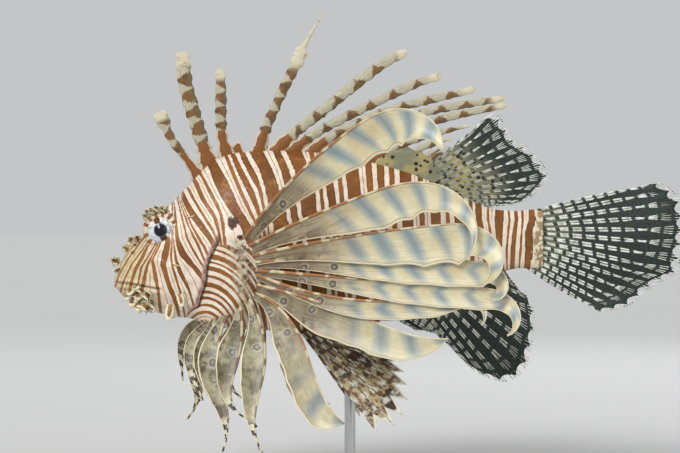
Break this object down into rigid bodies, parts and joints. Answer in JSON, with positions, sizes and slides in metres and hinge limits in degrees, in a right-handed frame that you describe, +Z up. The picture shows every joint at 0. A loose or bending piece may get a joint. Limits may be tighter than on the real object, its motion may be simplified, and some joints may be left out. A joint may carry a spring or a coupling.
{
  "type": "red lionfish (Pterois volitans)",
  "caption": "Life-size red lionfish with fanned pectoral fins, banded body and tall sheathed dorsal spines, on a plain display stand",
  "frame": {"origin": "centre of the underside of the stand base", "axes": "+X runs from the head to the tail, +Z is up, the fish's left flank faces -Y"},
  "size_m": [0.3141, 0.1727, 0.2608],
  "materials": {
    "banded_skin": "satin",
    "eye": "gloss",
    "spine_sheath": "satin",
    "soft_fin": "satin",
    "pelvic_skin": "satin",
    "feather_fin": "satin",
    "stand_paint": "matt",
    "rod_steel": "satin"
  },
  "bodies": {
    "root": {"head": "banded_skin", "trunk": "banded_skin", "tail_stalk": "banded_skin", "eye_left": "eye", "eye_right": "eye", "spiny_dorsal_fin": "spine_sheath", "soft_dorsal_fin": "soft_fin", "tail_fin": "soft_fin", "anal_fin": "soft_fin", "pelvic_fin_left": "pelvic_skin", "pelvic_fin_right": "pelvic_skin", "pectoral_fin_left": "feather_fin", "pectoral_fin_right": "feather_fin", "stand_base": "stand_paint", "stand_rod": "rod_steel"}
  },
  "joints": []
}
